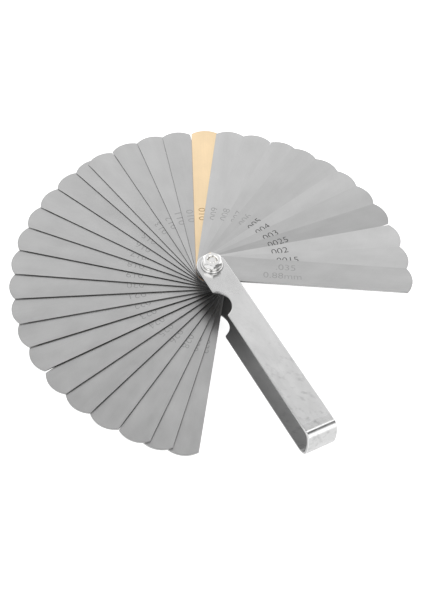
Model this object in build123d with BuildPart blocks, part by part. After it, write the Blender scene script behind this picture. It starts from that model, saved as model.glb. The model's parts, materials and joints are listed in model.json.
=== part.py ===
from build123d import *
import math
import os

# Feeler gauge: thirty-two gauge blades fanned about one screw in a folded sheet case.
#
# Frame, in millimetres: Z is the screw's axis, z = 0 is the flat crown of the screw head
# that the gauge rests on, the nut is on top, and the case points along +X.
# The blades are fanned out at rest. A blade is folded away when it points along +X too.

os.makedirs("parts", exist_ok=True)

# ---------------------------------------------------------------- driving dimensions

INCH = 25.4

# Blades: half-inch ground strip, three and a half inches long.
blade_width = 0.5 * INCH
blade_length = 3.5 * INCH
tip_radius = 10.0
tip_corner_radius = 0.5
blade_gap = 0.02
edge_break = 0.06
thinnest_with_broken_edges = 0.25

# Case: one strip of sheet folded into a U, with a thumb notch in both covers. The end wall
# between the two folds bulges outwards, and the fold of the back cover is the rounder one.
sheet = 1.0
case_width = blade_width
case_reach = 87.5
end_bulge = 1.4
front_fold_radius = 3.2
back_fold_radius = 5.0
notch_radius = 6.75
notch_depth = 4.5
notch_from_pivot = 18.75
notch_corner_radius = 0.6
rim_rounding = 0.4

# Screw M4 and, from the case up, plain washer, spring lock washer and thin hexagon nut, all M4.
screw_diameter = 4.0
running_clearance = 0.05
head_diameter = 9.4
head_height = 1.6
head_rounding = 0.8
recess_span = 4.4
recess_width = 1.0
recess_depth = 1.0
recess_taper = 12
screw_end_chamfer = 0.55
screw_end_depth = 0.45
plain_washer_diameter = 9.0
plain_washer_hole = 4.3
plain_washer_thickness = 0.8
plain_washer_rounding = 0.1
spring_washer_diameter = 7.6
spring_washer_thickness = 0.9
spring_washer_rounding = 0.1
slit_width = 0.6
slit_lean = 35
slit_angle = 150
nut_across_flats = 7.0
nut_height = 2.2
nut_turn = 39.5
nut_chamfer_start = 0.93
nut_chamfer_angle = 30
nut_countersink = 0.25

# How close two lengths are to count as one, and how far from its hole a blade's rims start.
same_length = 0.01
rim_margin = 1.0

# Blades from the nut side down: size mark, which is the thickness in decimals of an inch,
# and the fan step in degrees from the blade above, which for the first is from the case.
BLADES = [
    ("035", 59.5),
    ("0015", 9.0),
    ("002", 9.0),
    ("0025", 9.5),
    ("003", 9.0),
    ("004", 8.5),
    ("005", 8.0),
    ("006", 8.5),
    ("007", 7.0),
    ("008", 9.3),
    ("009", 8.7),
    ("010_brass", 8.0),
    ("010", 9.5),
    ("011", 8.5),
    ("012", 8.7),
    ("013", 9.2),
    ("014", 5.1),
    ("015", 8.5),
    ("016", 9.0),
    ("017", 8.5),
    ("018", 9.0),
    ("019", 9.0),
    ("020", 9.0),
    ("021", 9.0),
    ("022", 8.5),
    ("023", 9.0),
    ("024", 9.5),
    ("025", 9.0),
    ("026", 9.0),
    ("028", 9.2),
    ("030", 6.3),
    ("032", 7.0),
]


def thickness_of(mark):
    """A blade's thickness in millimetres from its size mark."""
    return float("." + mark.split("_")[0]) * INCH


# ---------------------------------------------------------------- heights and radii

stack_height = sum(thickness_of(mark) + blade_gap for mark, step in BLADES) + blade_gap
case_bottom = head_height
case_top = case_bottom + stack_height + 2 * sheet
plain_washer_top = case_top + plain_washer_thickness
spring_washer_top = plain_washer_top + spring_washer_thickness
nut_top = spring_washer_top + nut_height
screw_top = nut_top - screw_end_depth

hole_radius = screw_diameter / 2 + running_clearance
end_radius = blade_width / 2
pivot_to_tip = blade_length - end_radius
tip_center = pivot_to_tip - tip_radius
tip_corner = tip_center + math.sqrt(tip_radius**2 - end_radius**2)


# ---------------------------------------------------------------- case


def side_outline(inset):
    """Side view of the case, or of the space in it where inset is the sheet: two covers and an end."""
    back, front = case_bottom + inset, case_top - inset
    reach = case_reach - inset
    with BuildSketch(Plane.XZ) as outline:
        with BuildLine():
            Line((-end_radius, front), (-end_radius, back))
            Line((-end_radius, back), (reach, back))
            ThreePointArc((reach, back), (reach + end_bulge, (back + front) / 2), (reach, front))
            Line((reach, front), (-end_radius, front))
        make_face()
        back_corner = outline.vertices().group_by(Axis.X)[-1].sort_by(Axis.Y)[0]
        fillet(back_corner, back_fold_radius - inset)
        front_corner = outline.vertices().group_by(Axis.Y)[-1].sort_by(Axis.X)[-1]
        fillet(front_corner, front_fold_radius - inset)
    return outline.sketch


with BuildPart() as case:
    # The outer shape is a block with a rounded end. In plan its other end is a half round.
    extrude(side_outline(inset=0), amount=case_width / 2, both=True)
    with BuildSketch(Plane.XY.offset(case_bottom)):
        Circle(end_radius)
        Rectangle(case_reach + end_bulge, case_width, align=(Align.MIN, Align.CENTER))
    extrude(amount=case_top - case_bottom, mode=Mode.INTERSECT)

    # The thumb notch goes through both covers, on the long edge that faces the fan's last blade.
    with BuildSketch(Plane.XY.offset(case_bottom)):
        with Locations((notch_from_pivot, -case_width / 2 - notch_radius + notch_depth)):
            Circle(notch_radius)
    extrude(amount=case_top - case_bottom, mode=Mode.SUBTRACT)
    upright_edges = case.edges().filter_by(Axis.Z)
    notch_corners = upright_edges.filter_by_position(
        Axis.X, notch_from_pivot - notch_radius, notch_from_pivot + notch_radius
    )
    fillet(notch_corners, notch_corner_radius)

    # The sheet's outer rims are rounded over: those of both covers, the folds and the end wall.
    rims = case.edges().filter_by(Axis.Y, reverse=True).filter_by(Axis.Z, reverse=True)
    fillet(rims, rim_rounding)

    # The space for the blades, open along both long sides, and the hole for the screw.
    extrude(side_outline(inset=sheet), amount=case_width / 2, both=True, mode=Mode.SUBTRACT)
    with BuildSketch(Plane.XY.offset(case_bottom)):
        Circle(hole_radius)
    extrude(amount=case_top - case_bottom, mode=Mode.SUBTRACT)
case.part.label = "case"
export_step(case.part, "parts/case.step")


# ---------------------------------------------------------------- pivot screw

with BuildPart() as pivot_screw:
    # Low round head under the back cover, with a cross recess in its flat crown.
    with BuildSketch():
        Circle(head_diameter / 2)
    extrude(amount=head_height)
    fillet(pivot_screw.edges().group_by(Axis.Z)[0], head_rounding)
    with BuildSketch():
        Rectangle(recess_span, recess_width)
        Rectangle(recess_width, recess_span)
    extrude(amount=recess_depth, taper=recess_taper, mode=Mode.SUBTRACT)

    # Shank up through the covers and blades, with a chamfered end in the nut.
    with BuildSketch(Plane.XY.offset(head_height)):
        Circle(screw_diameter / 2)
    extrude(amount=screw_top - head_height)
    chamfer(pivot_screw.edges().group_by(Axis.Z)[-1], screw_end_chamfer)
pivot_screw.part.label = "pivot_screw"
export_step(pivot_screw.part, "parts/pivot_screw.step")


# ---------------------------------------------------------------- washers

with BuildPart() as plain_washer:
    with BuildSketch(Plane.XY.offset(case_top)):
        Circle(plain_washer_diameter / 2)
        Circle(plain_washer_hole / 2, mode=Mode.SUBTRACT)
    extrude(amount=plain_washer_thickness)
    outer_wall = plain_washer.faces().filter_by(GeomType.CYLINDER).sort_by(SortBy.AREA)[-1]
    fillet(outer_wall.edges().filter_by(GeomType.CIRCLE), plain_washer_rounding)
plain_washer.part.label = "plain_washer"
export_step(plain_washer.part, "parts/plain_washer.step")

with BuildPart() as spring_washer:
    # Split ring, pressed flat by the nut. The slit leans, as it does on a coil of wire.
    with BuildSketch(Plane.XY.offset(plain_washer_top)):
        Circle(spring_washer_diameter / 2)
        Circle(hole_radius, mode=Mode.SUBTRACT)
    extrude(amount=spring_washer_thickness)
    outer_wall = spring_washer.faces().filter_by(GeomType.CYLINDER).sort_by(SortBy.AREA)[-1]
    fillet(outer_wall.edges().filter_by(GeomType.CIRCLE), spring_washer_rounding)
    slit_middle = plain_washer_top + spring_washer_thickness / 2
    slit_plane = Plane.XY.offset(slit_middle).rotated((0, 0, slit_angle))
    with BuildSketch(slit_plane.rotated((90 + slit_lean, 0, 0))):
        Rectangle(
            spring_washer_diameter, 3 * spring_washer_thickness, align=(Align.MIN, Align.CENTER)
        )
    extrude(amount=slit_width / 2, both=True, mode=Mode.SUBTRACT)
spring_washer.part.label = "spring_washer"
export_step(spring_washer.part, "parts/spring_washer.step")


# ---------------------------------------------------------------- hexagon nut

with BuildPart() as hex_nut:
    corner_radius = nut_across_flats / math.sqrt(3)
    face_radius = nut_chamfer_start * nut_across_flats / 2
    chamfer_height = (corner_radius - face_radius) * math.tan(math.radians(nut_chamfer_angle))
    with BuildSketch(Plane.XY.offset(spring_washer_top)):
        RegularPolygon(corner_radius, 6, rotation=nut_turn)
    extrude(amount=nut_height)
    # A double cone about the axis takes off the corners at both faces.
    with BuildSketch(Plane.XZ):
        with BuildLine():
            Polyline(
                (0, spring_washer_top),
                (face_radius, spring_washer_top),
                (corner_radius, spring_washer_top + chamfer_height),
                (corner_radius, nut_top - chamfer_height),
                (face_radius, nut_top),
                (0, nut_top),
                close=True,
            )
        make_face()
    revolve(axis=Axis.Z, mode=Mode.INTERSECT)
    with BuildSketch(Plane.XY.offset(spring_washer_top)):
        Circle(screw_diameter / 2)
    extrude(amount=nut_height, mode=Mode.SUBTRACT)
    bore_rims = hex_nut.edges().filter_by(GeomType.CIRCLE)
    bore_rims = bore_rims.filter_by(lambda e: abs(e.radius - screw_diameter / 2) < same_length)
    chamfer(bore_rims, nut_countersink)
hex_nut.part.label = "hex_nut"
export_step(hex_nut.part, "parts/hex_nut.step")


# ---------------------------------------------------------------- blades

rest_angle = 0.0
underside = case_top - sheet
for mark, fan_step in BLADES:
    rest_angle += fan_step
    thickness = thickness_of(mark)
    underside -= blade_gap + thickness
    with BuildPart() as blade:
        # Half round about the screw, two parallel sides and a flatter arc at the tip.
        with BuildSketch(Plane.XY.offset(underside).rotated((0, 0, rest_angle))) as outline:
            with BuildLine():
                ThreePointArc((0, end_radius), (-end_radius, 0), (0, -end_radius))
                Line((0, -end_radius), (tip_corner, -end_radius))
                ThreePointArc(
                    (tip_corner, -end_radius), (pivot_to_tip, 0), (tip_corner, end_radius)
                )
                Line((tip_corner, end_radius), (0, end_radius))
            make_face()
            fillet(outline.vertices().group_by(Axis.X)[-1], tip_corner_radius)
            Circle(hole_radius, mode=Mode.SUBTRACT)
        extrude(amount=thickness)
        if thickness > thinnest_with_broken_edges:
            rims = blade.faces().filter_by(Axis.Z).edges()
            inner_reach = hole_radius + rim_margin
            outer_rims = rims.filter_by(lambda e: e.distance_to((0, 0, e.center().Z)) > inner_reach)
            chamfer(outer_rims, edge_break)
    blade.part.label = "blade_" + mark
    export_step(blade.part, "parts/blade_" + mark + ".step")
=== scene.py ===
"""Feeler gauge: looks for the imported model, with camera, floor and studio light.

The blades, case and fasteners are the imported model's own meshes, each with a
procedural material. The size marks on the blades are thin closed pieces made here,
which ride on their blades. Lengths are in metres unless a name says otherwise.
"""

import json
import math
import random

import bmesh
import bpy
from mathutils import Matrix, Vector


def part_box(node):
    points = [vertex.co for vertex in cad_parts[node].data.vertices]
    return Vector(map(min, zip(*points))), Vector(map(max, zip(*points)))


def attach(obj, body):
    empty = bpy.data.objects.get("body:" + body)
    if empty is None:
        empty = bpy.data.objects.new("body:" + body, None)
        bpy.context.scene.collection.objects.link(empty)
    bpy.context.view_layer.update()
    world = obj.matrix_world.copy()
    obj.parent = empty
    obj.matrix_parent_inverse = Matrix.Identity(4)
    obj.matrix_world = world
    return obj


MM = 0.001

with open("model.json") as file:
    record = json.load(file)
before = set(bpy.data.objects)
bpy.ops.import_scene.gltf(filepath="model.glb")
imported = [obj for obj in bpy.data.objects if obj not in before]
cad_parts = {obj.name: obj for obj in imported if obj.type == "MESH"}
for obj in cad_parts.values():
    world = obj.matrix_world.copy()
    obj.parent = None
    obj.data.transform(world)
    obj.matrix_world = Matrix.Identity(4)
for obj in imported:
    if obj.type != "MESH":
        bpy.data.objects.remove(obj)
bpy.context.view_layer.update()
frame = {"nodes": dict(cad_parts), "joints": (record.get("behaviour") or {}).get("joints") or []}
NODES = frame["nodes"]


# ---------------------------------------------------------------- shape of the gauge

# The case's sheet thickness; masks on the case are measured in it.
SHEET = 1.0 * MM

# A blade's tip is an arc of this radius about this distance from the pivot.
TIP_RADIUS = 10.0 * MM
TIP_CENTER = 72.55 * MM

# The screw's thread: from the flat of its end to the rim of the nut's countersink.
THREAD_FROM = 1.55 * MM
THREAD_TO = 2.15 * MM


# ---------------------------------------------------------------- finishes

WHITE = (1.0, 1.0, 1.0)

# Most values of a noise lie between these two.
NOISE_LOW = 0.3
NOISE_HIGH = 0.7

# Blades: colours, and the angle between the grinding lines and a blade's length.
BLADE_STEEL = (0.51, 0.51, 0.51)
BRASS = (0.88, 0.69, 0.45)
# Long edges of the brass blade: painted shade, as on the steel blades.
BRASS_EDGE_SHADE = (0.42, 0.25, 0.13)
BLADE_ROUGHNESS = (0.29, 0.40)
GRAIN_SLANT = 55
# Painted shade along the rim of a blade's curved tip.
TIP_RIM_SHADE = 0.86
TIP_WALL_TONE = 0.7

# Blades that stand out from their neighbours, lighter or darker, and the spread of the rest.
TONES = {
    "blade_0015": 1.08,
    "blade_002": 1.14,
    "blade_0025": 0.86,
    "blade_004": 1.07,
    "blade_008": 1.06,
    "blade_009": 1.06,
    "blade_011": 1.05,
}
TONE_SPREAD = (0.97, 1.03)

# Brightness of the long edges: painted shade, as they lie between blades. The blade under the
# top cover has its edge in full light, painted lighter.
EDGE_SHADE_SPREAD = (0.03, 0.14)
TOP_BLADE = "blade_035"
TOP_BLADE_LIT_EDGE = 0.42

# Painted shade round the screw on the lower blades, darkest on the lowest one: the shadow of the
# case and of the blades stacked above them.
ROOT_SHADE_UP_TO = 20 * MM
ROOT_SHADE_FROM = 16
DARKEST_ROOT_SHADE = 0.6

# Case: its sheet, the angles at which scratches and fingermarks cross it, and how much
# darker its end wall, cut edges and rims are painted, as shade.
CASE_STEEL = (0.74, 0.74, 0.74)
SCRATCHED_STEEL = (0.88, 0.88, 0.88)
SCRATCH_STRENGTH = 0.35
SCRATCH_SLANT = 24
FINGER_SLANT = 35
CASE_ROUGHNESS = (0.16, 0.24)
END_WALL_TONE = 0.71
CUT_EDGE_TONE = 0.55
RIM_TONE = 0.62
END_RIM_TONE = 0.9

# Fasteners: plating, the painted shade inside the thread, and the pitch of the turning rings.
PLATING = (1.0, 0.995, 0.985)
PLATING_TONES = (0.83, 0.91)
PLATING_ROUGHNESS = (0.07, 0.12)
THREAD_SHADE_COLOR = (0.8, 0.79, 0.77)
RING_PITCH = 0.18 * MM

# A line of painted shadow lies round the foot of each washer.
CONTACT_SHADE_WIDTH = 0.38 * MM
CONTACT_SHADE_TONE = 0.3

# Size marks in ink, etched in steel and etched in brass.
INK = (0.03, 0.03, 0.03)
ETCHED_TONE = 0.74
ETCHED_BRASS = (0.42, 0.27, 0.13)
MARK_ROUGHNESS = (0.5, 0.65)


# ---------------------------------------------------------------- size marks

# Two lines read outwards from the pivot: start, place across the blade, width of a character.
MARK_HEIGHT = 2.9 * MM
MARK_LIFT = 3e-6
MARK_THICKNESS = 8e-6
INCH_LINE = (26.9 * MM, 2.35 * MM, 2.0 * MM)
MM_LINE = (21.8 * MM, -2.2 * MM, 2.6 * MM)

# Strokes are thinned, and caps welded to sides, by these parts of the font size.
MARK_THINNING = -0.012
WELD_DISTANCE = 1e-5

# Marks that are printed off their usual place: outwards and sideways.
MARK_SHIFTS = {
    "blade_035": (-0.6 * MM, 0.0),
    "blade_0015": (-0.5 * MM, 0.0),
    "blade_002": (-1.2 * MM, 0.5 * MM),
    "blade_0025": (-0.6 * MM, 0.2 * MM),
    "blade_010_brass": (0.0, 0.6 * MM),
    "blade_010": (0.0, 0.4 * MM),
    "blade_011": (0.0, 0.4 * MM),
}

MM_PER_MARKED_INCH = 25

# Blades up to this many inches are marked in ink, thicker ones are etched.
PRINTED_UP_TO = 0.005


# ---------------------------------------------------------------- camera and light

# Camera: an orbit about the pivot's axis, seen over the case's clockwise side.
CAMERA_HEADING = 58.3
CAMERA_ELEVATION = 51.5
CAMERA_ROLL = 4.77
CAMERA_DISTANCE = 495.9 * MM
CAMERA_SHIFT_RIGHT = 0.8 * MM
CAMERA_SHIFT_UP = -4.8 * MM
CAMERA_LENS = 71.1
SENSOR = 36.0

# Studio surroundings: brightness low down and overhead, and the heights (as sines of the
# angle above the horizon) where the one starts to give way and the other is reached.
SKY_LOW = 1.55
SKY_HIGH = 0.3
SKY_LOW_UP_TO = 0.5
SKY_HIGH_FROM = 0.98

# The sweep is lit through from below as well, which keeps it white under the blades.
FLOOR_GLOW = 0.75

# How far the floor reaches from the pivot to each side.
FLOOR_REACH = 3.0

# Soft panels and gaps in the surroundings: compass heading and height of the middle,
# angle out to where the edge starts and to where it ends, and brightness added.
PANELS = [
    (291, 51, 8, 20, 0.7),
    (322, 52, 5, 10, -0.6),
    (350, 68, 8, 16, 0.45),
    (5, 51, 8, 16, 0.5),
    (51, 52, 11, 18, -0.54),
    (62, 24, 10, 20, -0.8),
    (325, 15, 16, 32, -1.1),
    (98, 73, 6, 11, 1.6),
]


# ---------------------------------------------------------------- node helpers


def new_material(name):
    """A node material with one Principled shader; returns the material, tree and shader."""
    material = bpy.data.materials.new(name)
    material.use_nodes = True
    tree = material.node_tree
    shader = tree.nodes["Principled BSDF"]
    return material, tree, shader


def feed(tree, socket, value):
    """Links a value that is itself a socket, and sets any other; colours are RGB tuples."""
    if isinstance(value, bpy.types.NodeSocket):
        tree.links.new(value, socket)
    elif isinstance(value, tuple):
        socket.default_value = (*value, 1.0)
    else:
        socket.default_value = value


def math_node(tree, operation, *values):
    """A Math node's output."""
    node = tree.nodes.new("ShaderNodeMath")
    node.operation = operation
    for socket, value in zip(node.inputs, values):
        feed(tree, socket, value)
    return node.outputs[0]


def product(tree, first, *others):
    """Several values multiplied together, in order."""
    for other in others:
        first = math_node(tree, "MULTIPLY", first, other)
    return first


def remap(tree, value, low, high, to_low, to_high):
    """Map Range with clamping."""
    node = tree.nodes.new("ShaderNodeMapRange")
    tree.links.new(value, node.inputs["Value"])
    for name, number in (
        ("From Min", low),
        ("From Max", high),
        ("To Min", to_low),
        ("To Max", to_high),
    ):
        node.inputs[name].default_value = number
    return node.outputs[0]


def rising(tree, value, start, end):
    """0 up to start, 1 from end on."""
    return remap(tree, value, start, end, 0.0, 1.0)


def falling(tree, value, start, end):
    """1 up to start, 0 from end on."""
    return remap(tree, value, start, end, 1.0, 0.0)


def varied(tree, value, low, high):
    """A noise spread over a range of tones."""
    return remap(tree, value, NOISE_LOW, NOISE_HIGH, low, high)


def mix_colors(tree, factor, first, second, blend="MIX"):
    """A colour mix; colours are RGB tuples or sockets."""
    node = tree.nodes.new("ShaderNodeMix")
    node.data_type = "RGBA"
    node.blend_type = blend
    for index, value in ((0, factor), (6, first), (7, second)):
        feed(tree, node.inputs[index], value)
    return node.outputs[2]


def tinted(tree, color, tone):
    """A colour multiplied by a tone or by another colour."""
    return mix_colors(tree, 1.0, color, tone, "MULTIPLY")


def scaled(color, factor):
    """An RGB tuple times a factor."""
    return tuple(channel * factor for channel in color)


def bump(tree, shader, height, strength, depth):
    """Gives a shader relief of the given depth."""
    node = tree.nodes.new("ShaderNodeBump")
    node.inputs["Strength"].default_value = strength
    node.inputs["Distance"].default_value = depth
    tree.links.new(height, node.inputs["Height"])
    tree.links.new(node.outputs[0], shader.inputs["Normal"])


def components(tree, vector):
    """A vector's X, Y and Z."""
    parts = tree.nodes.new("ShaderNodeSeparateXYZ")
    tree.links.new(vector, parts.inputs[0])
    return parts.outputs["X"], parts.outputs["Y"], parts.outputs["Z"]


def coordinates(tree, kind):
    """The piece's own coordinates of one kind, such as Object or Normal."""
    return tree.nodes.new("ShaderNodeTexCoord").outputs[kind]


def turned_coordinates(tree, angle):
    """Object coordinates turned about the pivot so that X runs at this angle."""
    turn = tree.nodes.new("ShaderNodeVectorRotate")
    turn.rotation_type = "Z_AXIS"
    tree.links.new(coordinates(tree, "Object"), turn.inputs["Vector"])
    turn.inputs["Angle"].default_value = -angle
    return turn.outputs[0]


def streaks(tree, angle, along, across, seed, detail, roughness=0.5):
    """Noise between 0 and 1, about 0.5, with features of this size at this angle."""
    stretch = tree.nodes.new("ShaderNodeVectorMath")
    stretch.operation = "MULTIPLY_ADD"
    tree.links.new(turned_coordinates(tree, angle), stretch.inputs[0])
    stretch.inputs[1].default_value = (1 / along, 1 / across, 1 / across)
    stretch.inputs[2].default_value = (seed * 7.3, seed * 3.1, 0.0)
    node = tree.nodes.new("ShaderNodeTexNoise")
    node.inputs["Scale"].default_value = 1.0
    node.inputs["Detail"].default_value = detail
    node.inputs["Roughness"].default_value = roughness
    tree.links.new(stretch.outputs[0], node.inputs["Vector"])
    return node.outputs[0]


def distance(tree, first, second):
    """Length of the vector with these two components."""
    squared = math_node(tree, "MULTIPLY", second, second)
    return math_node(tree, "SQRT", math_node(tree, "MULTIPLY_ADD", first, first, squared))


# ---------------------------------------------------------------- materials


def side_wall(tree):
    """1 on upright and broken edges, 0 on flat faces."""
    _, _, upward = components(tree, coordinates(tree, "Normal"))
    return falling(tree, math_node(tree, "ABSOLUTE", upward), 0.75, 0.95)


def tip_rim(tree, along, across):
    """1, falling to slightly less in the last half millimetre before a blade's curved tip, as
    painted shade on the rim.
    """
    past_center = math_node(tree, "MAXIMUM", math_node(tree, "SUBTRACT", along, TIP_CENTER), 0.0)
    radius = distance(tree, past_center, across)
    return remap(
        tree, radius, TIP_RADIUS - 0.5 * MM, TIP_RADIUS - 0.1 * MM, 1.0, TIP_RIM_SHADE
    )


def ground_strip(name, color, edge_shade_color, root_shade_tone, angle, seed):
    """Ground strip: slanting grain, soft blotches, painted reflection of slight bending, and
    painted shade on the tip's rim, round the root and on the long edges.
    """
    material, tree, shader = new_material(name)
    slant = angle + math.radians(GRAIN_SLANT)
    grain = streaks(tree, slant, 5 * MM, 0.12 * MM, seed, detail=3.0, roughness=0.6)
    lines = streaks(tree, angle, 25 * MM, 0.25 * MM, seed + 1, detail=2.0)
    blotches = streaks(tree, angle, 11 * MM, 6 * MM, seed + 2, detail=3.0, roughness=0.55)
    # Painted reflection: slow light and dark swells along a blade, where it is slightly bent.
    bend_reflection = streaks(tree, angle, 70 * MM, 9 * MM, seed + 3, detail=1.0)
    along, across, _ = components(tree, turned_coordinates(tree, angle))

    tone = product(
        tree,
        math_node(tree, "MULTIPLY_ADD", grain, 0.10, 0.95),
        varied(tree, lines, 0.985, 1.015),
        varied(tree, blotches, 0.955, 1.035),
        varied(tree, bend_reflection, 0.97, 1.03),
        tip_rim(tree, along, across),
        # Painted shade round the root, cast by the case and the blades above.
        remap(tree, along, 8 * MM, ROOT_SHADE_UP_TO, root_shade_tone, 1.0),
    )
    # Long edges: painted shade between blades, giving way near the tip to a lighter wall.
    near_tip = rising(tree, along, TIP_CENTER + 4 * MM, TIP_CENTER + 7 * MM)
    wall = mix_colors(tree, near_tip, edge_shade_color, scaled(color, TIP_WALL_TONE))
    surface = mix_colors(tree, side_wall(tree), tinted(tree, color, tone), wall)
    tree.links.new(surface, shader.inputs["Base Color"])

    shader.inputs["Metallic"].default_value = 1.0
    rough = remap(tree, blotches, 0.25, 0.75, *BLADE_ROUGHNESS)
    rough = math_node(tree, "MULTIPLY_ADD", side_wall(tree), 0.1, rough)
    tree.links.new(rough, shader.inputs["Roughness"])
    bump(tree, shader, grain, strength=0.25, depth=0.004 * MM)
    return material


def case_tone(tree, along, across, grain, smudges):
    """Tone of the case's sheet: brushing, wear, fingermarks, a little darker towards the pivot,
    and a painted shadow line round the washer.
    """
    patches = streaks(
        tree, math.radians(FINGER_SLANT), 3.4 * MM, 2.2 * MM, 9.0, detail=3.0, roughness=0.6
    )
    fingered = rising(tree, patches, 0.55, 0.72)
    fingered = product(tree, fingered, remap(tree, along, 30 * MM, 75 * MM, 0.05, 0.2))
    radius = distance(tree, along, across)
    washer_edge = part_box("plain_washer")[1].x
    return product(
        tree,
        math_node(tree, "MULTIPLY_ADD", grain, 0.12, 0.94),
        varied(tree, smudges, 0.95, 1.04),
        math_node(tree, "SUBTRACT", 1.0, fingered),
        remap(tree, along, 8 * MM, 35 * MM, 0.93, 1.0),
        # Painted shadow line round the plain washer's foot.
        remap(tree, radius, washer_edge + CONTACT_SHADE_WIDTH, washer_edge, 1.0, CONTACT_SHADE_TONE),
    )


def inside_case(tree, along, height, facing_end):
    """1 on the faces between the covers and on the end wall's inner face, 0 elsewhere."""
    low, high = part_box("case")
    between_covers = product(
        tree,
        rising(tree, height, low.z + 0.85 * SHEET, low.z + 0.9 * SHEET),
        falling(tree, height, high.z - 0.9 * SHEET, high.z - 0.85 * SHEET),
        falling(tree, along, high.x - 5.5 * SHEET, high.x - 5 * SHEET),
    )
    facing_inwards = falling(tree, facing_end, -0.05, 0.0)
    near_end = rising(tree, along, high.x - 8 * SHEET, high.x - 7 * SHEET)
    hollow_end = product(tree, facing_inwards, near_end)
    return math_node(tree, "MAXIMUM", between_covers, hollow_end)


def case_sheet():
    """Brushed case: lines along it, wear and scratches; painted shade inside, on its cut edges,
    rims and end wall.
    """
    material, tree, shader = new_material("case_brushed_steel")
    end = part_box("case")[1].x
    along, across, height = components(tree, coordinates(tree, "Object"))
    facing_end, facing_side, _ = components(tree, coordinates(tree, "Normal"))
    facing_side = math_node(tree, "ABSOLUTE", facing_side)
    grain = streaks(tree, 0.0, 12 * MM, 0.11 * MM, 3.0, detail=3.0, roughness=0.6)
    smudges = streaks(tree, 0.0, 7 * MM, 4 * MM, 5.0, detail=4.0, roughness=0.65)
    slanting = streaks(
        tree, math.radians(SCRATCH_SLANT), 14 * MM, 0.16 * MM, 8.0, detail=2.0
    )
    scratches = rising(tree, slanting, 0.66, 0.74)
    tone = case_tone(tree, along, across, grain, smudges)

    outside = tinted(tree, CASE_STEEL, tone)
    scratched = product(tree, scratches, SCRATCH_STRENGTH)
    outside = mix_colors(tree, scratched, outside, SCRATCHED_STEEL)
    # Painted shade on the end wall's outer face.
    outside = tinted(tree, outside, remap(tree, facing_end, 0.80, 0.93, 1.0, END_WALL_TONE))
    # Painted shade on the rounded rims, less of it near the fold.
    rim_tone = remap(tree, along, end - 6 * SHEET, end - 4 * SHEET, RIM_TONE, END_RIM_TONE)
    rimmed = rising(tree, facing_side, 0.15, 0.6)
    outside = tinted(tree, outside, mix_colors(tree, rimmed, WHITE, rim_tone))

    # Painted shade inside the case, darkest near the pivot.
    inside_shade = remap(tree, along, 2 * MM, 45 * MM, 0.03, 0.33)
    inside = tinted(tree, WHITE, product(tree, inside_shade, tone))
    within = inside_case(tree, along, height, facing_end)
    # Painted shade on the cut edges, darkest near the pivot.
    edge_tone = remap(tree, along, 20 * MM, end - 4 * SHEET, 0.10, CUT_EDGE_TONE)
    sideways = rising(tree, facing_side, 0.9, 0.97)
    surface = mix_colors(tree, within, outside, inside)
    surface = mix_colors(tree, sideways, surface, tinted(tree, CASE_STEEL, edge_tone))
    tree.links.new(surface, shader.inputs["Base Color"])

    shader.inputs["Metallic"].default_value = 1.0
    brushed = remap(tree, along, 10 * MM, 20 * MM, 0.0, 0.12)
    before_fold = falling(tree, along, end - 7 * SHEET, end - 5 * SHEET)
    rough = remap(tree, smudges, 0.25, 0.75, *CASE_ROUGHNESS)
    rough = math_node(tree, "MULTIPLY_ADD", brushed, before_fold, rough)
    dulled = math_node(tree, "MAXIMUM", within, sideways)
    rough = math_node(tree, "MULTIPLY_ADD", dulled, 0.2, rough)
    tree.links.new(rough, shader.inputs["Roughness"])
    relief = math_node(tree, "SUBTRACT", grain, product(tree, scratches, 0.5))
    bump(tree, shader, relief, strength=0.3, depth=0.006 * MM)
    return material


def bright_plating():
    """Bright plating with faint turning rings, painted shade in the thread, and a painted shadow
    line on the plain washer.
    """
    material, tree, shader = new_material("bright_plated_steel")
    wear = streaks(tree, 0.0, 1.2 * MM, 1.2 * MM, 11.0, detail=1.0)
    x, y, height = components(tree, coordinates(tree, "Object"))
    radius = distance(tree, x, y)
    rings = math_node(tree, "SINE", product(tree, radius, 2 * math.pi / RING_PITCH))
    tone = math_node(tree, "MULTIPLY_ADD", rings, 0.015, varied(tree, wear, *PLATING_TONES))
    bright = tinted(tree, PLATING, tone)

    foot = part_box("spring_washer")[1].x
    washer_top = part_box("plain_washer")[1].z
    on_washer = falling(tree, height, washer_top, washer_top + 0.05 * MM)
    # Painted shadow line round the spring washer's foot, on the plain washer.
    contact_shade_mask = product(tree, on_washer, rising(tree, radius, foot + CONTACT_SHADE_WIDTH, foot))
    bright = mix_colors(tree, contact_shade_mask, bright, scaled(WHITE, CONTACT_SHADE_TONE))
    # A darker band of painted shade where the thread's grooves lie.
    thread = product(
        tree,
        rising(tree, radius, THREAD_FROM - 0.1 * MM, THREAD_FROM),
        falling(tree, radius, THREAD_TO, THREAD_TO + 0.1 * MM),
    )
    surface = mix_colors(tree, thread, bright, THREAD_SHADE_COLOR)
    tree.links.new(surface, shader.inputs["Base Color"])

    shader.inputs["Metallic"].default_value = 1.0
    tree.links.new(varied(tree, wear, *PLATING_ROUGHNESS), shader.inputs["Roughness"])
    bump(tree, shader, wear, strength=0.2, depth=0.003 * MM)
    return material


def marking(name, color, metallic):
    """Ink or etching: a dull film, or the metal itself eaten rough, of uneven density."""
    material, tree, shader = new_material(name)
    patchy = streaks(tree, 0.4, 0.35 * MM, 0.25 * MM, 2.0, detail=3.0, roughness=0.7)
    tone = varied(tree, patchy, 0.85, 1.15)
    tree.links.new(tinted(tree, color, tone), shader.inputs["Base Color"])
    shader.inputs["Metallic"].default_value = metallic
    rough = varied(tree, patchy, *MARK_ROUGHNESS)
    tree.links.new(rough, shader.inputs["Roughness"])
    return material


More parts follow.
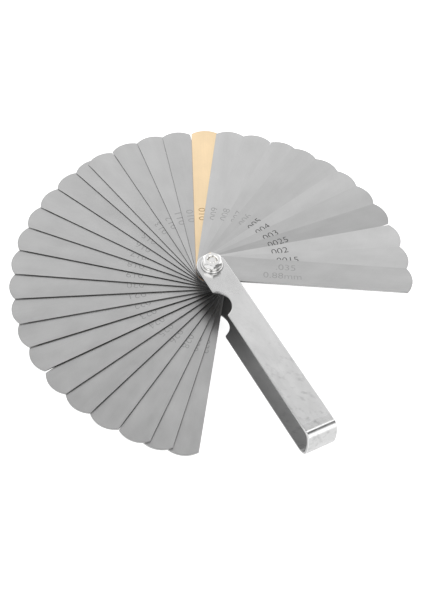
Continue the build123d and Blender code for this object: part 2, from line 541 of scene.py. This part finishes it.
def floor_material():
    """Matt white studio sweep."""
    material, tree, shader = new_material("studio_floor")
    paper = streaks(tree, 0.0, 3 * MM, 3 * MM, 1.0, detail=2.0)
    shade = varied(tree, paper, 0.59, 0.61)
    tree.links.new(tinted(tree, WHITE, shade), shader.inputs["Base Color"])
    shader.inputs["Roughness"].default_value = 0.9
    shader.inputs["Specular IOR Level"].default_value = 0.1
    shader.inputs["Emission Color"].default_value = (1.0, 1.0, 1.0, 1.0)
    shader.inputs["Emission Strength"].default_value = FLOOR_GLOW
    return material


def dress(piece, material):
    """Gives a piece one material in every slot."""
    piece.data.materials.clear()
    piece.data.materials.append(material)
    for face in piece.data.polygons:
        face.material_index = 0


# ---------------------------------------------------------------- blades


def rest_angle(joint):
    """How far a blade is fanned out at rest: its low limit is the folded place."""
    return -math.radians(joint["range_deg"][0])


def blade_marks(node):
    """The two lines marked on a blade: inches, and millimetres at 25 to the inch."""
    digits = node.split("_")[1]
    millimetres = float("0." + digits) * MM_PER_MARKED_INCH
    return "." + digits, f"{math.floor(millimetres * 100 + 0.5) / 100:.2f}mm"


def close_up(mesh):
    """Joins a mesh's caps to its sides and turns every face outwards."""
    surface = bmesh.new()
    surface.from_mesh(mesh)
    bmesh.ops.remove_doubles(surface, verts=surface.verts, dist=WELD_DISTANCE)
    bmesh.ops.recalc_face_normals(surface, faces=surface.faces)
    for face in surface.faces:
        face.smooth = False
    surface.to_mesh(mesh)
    surface.free()


def mark_mesh(text, name, start, line, advance):
    """One line of characters as a thin closed mesh, from start outwards, centred on line."""
    # One unit high and thick here; the loop at the end gives it its real size and place.
    curve = bpy.data.curves.new(name, "FONT")
    curve.body = text
    curve.size = 1.0
    curve.resolution_u = 4
    curve.extrude = 0.5
    curve.offset = MARK_THINNING
    shape = bpy.data.objects.new(name, curve)
    bpy.context.scene.collection.objects.link(shape)
    bpy.context.view_layer.update()
    solid = shape.evaluated_get(bpy.context.evaluated_depsgraph_get())
    mesh = bpy.data.meshes.new_from_object(solid)
    bpy.data.objects.remove(shape)
    close_up(mesh)
    left = min(v.co.x for v in mesh.vertices)
    right = max(v.co.x for v in mesh.vertices)
    low = min(v.co.y for v in mesh.vertices)
    high = max(v.co.y for v in mesh.vertices)
    length = advance * len(text)
    for vertex in mesh.vertices:
        vertex.co.x = start + (vertex.co.x - left) / (right - left) * length
        vertex.co.y = line + ((vertex.co.y - low) / (high - low) - 0.5) * MARK_HEIGHT
        vertex.co.z = (vertex.co.z + 0.5) * MARK_THICKNESS
    return mesh


def add_marks(node, body, angle, material):
    """Prints a blade's two lines of marks on its upper face."""
    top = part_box(node)[1].z
    outwards, sideways = MARK_SHIFTS.get(node, (0.0, 0.0))
    for text, name, (start, line, advance) in zip(
        blade_marks(node), ("inch", "mm"), (INCH_LINE, MM_LINE)
    ):
        label = "mark_" + node.removeprefix("blade_") + "_" + name
        mesh = mark_mesh(text, label, start + outwards, line + sideways, advance)
        lift = Matrix.Translation((0, 0, top + MARK_LIFT))
        mesh.transform(lift @ Matrix.Rotation(angle, 4, "Z"))
        mark = bpy.data.objects.new(label, mesh)
        bpy.context.scene.collection.objects.link(mark)
        dress(mark, material)
        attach(mark, body)


ink = marking("black_ink", INK, 0.0)
etching = marking("grey_etching", scaled(BLADE_STEEL, ETCHED_TONE), 1.0)
brass_etching = marking("brown_etching", ETCHED_BRASS, 1.0)

spread = random.Random(7)
shaded_root_count = len(frame["joints"]) - 1 - ROOT_SHADE_FROM
for number, joint in enumerate(frame["joints"]):
    node = joint["child"]
    angle = rest_angle(joint)
    tone = spread.uniform(*TONE_SPREAD) * TONES.get(node, 1.0)
    # Painted shade on the long edges; the top blade's edge is painted as lit.
    wall = spread.uniform(*EDGE_SHADE_SPREAD)
    if node == TOP_BLADE:
        wall = TOP_BLADE_LIT_EDGE
    # How dark the painted shade round the root is: more on the lower blades.
    root = 1.0 - (1.0 - DARKEST_ROOT_SHADE) * max(0, number - ROOT_SHADE_FROM) / shaded_root_count
    size = float("0." + node.split("_")[1])
    if "brass" in node:
        metal = ground_strip(node, BRASS, BRASS_EDGE_SHADE, root, angle, number)
        marks = brass_etching
    else:
        color = scaled(BLADE_STEEL, tone)
        metal = ground_strip(node, color, (wall, wall, wall), root, angle, number)
        marks = ink if size <= PRINTED_UP_TO else etching
    dress(NODES[node], metal)
    add_marks(node, joint["child"], angle, marks)


# ---------------------------------------------------------------- case and fasteners

dress(NODES["case"], case_sheet())
plating = bright_plating()
for node in ("pivot_screw", "plain_washer", "spring_washer", "hex_nut"):
    dress(NODES[node], plating)


# ---------------------------------------------------------------- floor, light, camera


def add_floor():
    """A large sheet under the gauge."""
    mesh = bpy.data.meshes.new("floor")
    reach = FLOOR_REACH
    corners = [(-reach, -reach, 0), (reach, -reach, 0), (reach, reach, 0), (-reach, reach, 0)]
    mesh.from_pydata(corners, [], [(0, 1, 2, 3)])
    floor = bpy.data.objects.new("floor", mesh)
    bpy.context.scene.collection.objects.link(floor)
    dress(floor, floor_material())


def camera_axes():
    """Right, up and view directions of the camera from its heading, elevation and roll."""
    heading = math.radians(CAMERA_HEADING)
    elevation = math.radians(CAMERA_ELEVATION)
    roll = math.radians(CAMERA_ROLL)
    turn = Matrix.Rotation(heading, 3, "Z")
    right = turn @ Vector((1, 0, 0))
    view = turn @ Vector((0, math.cos(elevation), -math.sin(elevation)))
    up = turn @ Vector((0, math.sin(elevation), math.cos(elevation)))
    rolled_right = math.cos(roll) * right + math.sin(roll) * up
    rolled_up = -math.sin(roll) * right + math.cos(roll) * up
    return rolled_right, rolled_up, view


def add_camera():
    """The camera, aimed near the foot of the pivot at the case's underside."""
    right, up, view = camera_axes()
    target = Vector((0, 0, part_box("case")[0].z))
    target += CAMERA_SHIFT_RIGHT * right + CAMERA_SHIFT_UP * up
    place = target - CAMERA_DISTANCE * view
    camera = bpy.data.objects.new("camera", bpy.data.cameras.new("camera"))
    camera.data.lens = CAMERA_LENS
    camera.data.sensor_width = SENSOR
    camera.data.clip_start = 0.01
    axes = Matrix((right, up, -view)).transposed().to_4x4()
    camera.matrix_world = Matrix.Translation(place) @ axes
    bpy.context.scene.collection.objects.link(camera)
    bpy.context.scene.camera = camera


def toward(heading, elevation):
    """Unit vector towards a compass heading and height, in degrees."""
    turn, height = math.radians(heading), math.radians(elevation)
    level = math.cos(height)
    return Vector((math.cos(turn) * level, math.sin(turn) * level, math.sin(height)))


def add_world():
    """Pale studio surroundings, brighter near the horizon than overhead, with soft panels."""
    world = bpy.data.worlds.new("studio")
    world.use_nodes = True
    tree = world.node_tree
    direction = coordinates(tree, "Generated")
    _, _, height = components(tree, direction)
    light = remap(tree, height, SKY_LOW_UP_TO, SKY_HIGH_FROM, SKY_LOW, SKY_HIGH)
    for heading, elevation, inner, outer, brightness in PANELS:
        facing = tree.nodes.new("ShaderNodeVectorMath")
        facing.operation = "DOT_PRODUCT"
        tree.links.new(direction, facing.inputs[0])
        facing.inputs[1].default_value = toward(heading, elevation)
        edge, middle = math.cos(math.radians(outer)), math.cos(math.radians(inner))
        panel = remap(tree, facing.outputs["Value"], edge, middle, 0.0, brightness)
        light = math_node(tree, "ADD", light, panel)
    tree.links.new(light, tree.nodes["Background"].inputs["Strength"])
    tree.nodes["Background"].inputs["Color"].default_value = (1.0, 1.0, 1.0, 1.0)
    bpy.context.scene.world = world


bpy.context.scene.view_settings.view_transform = "Standard"
add_floor()
add_camera()
add_world()
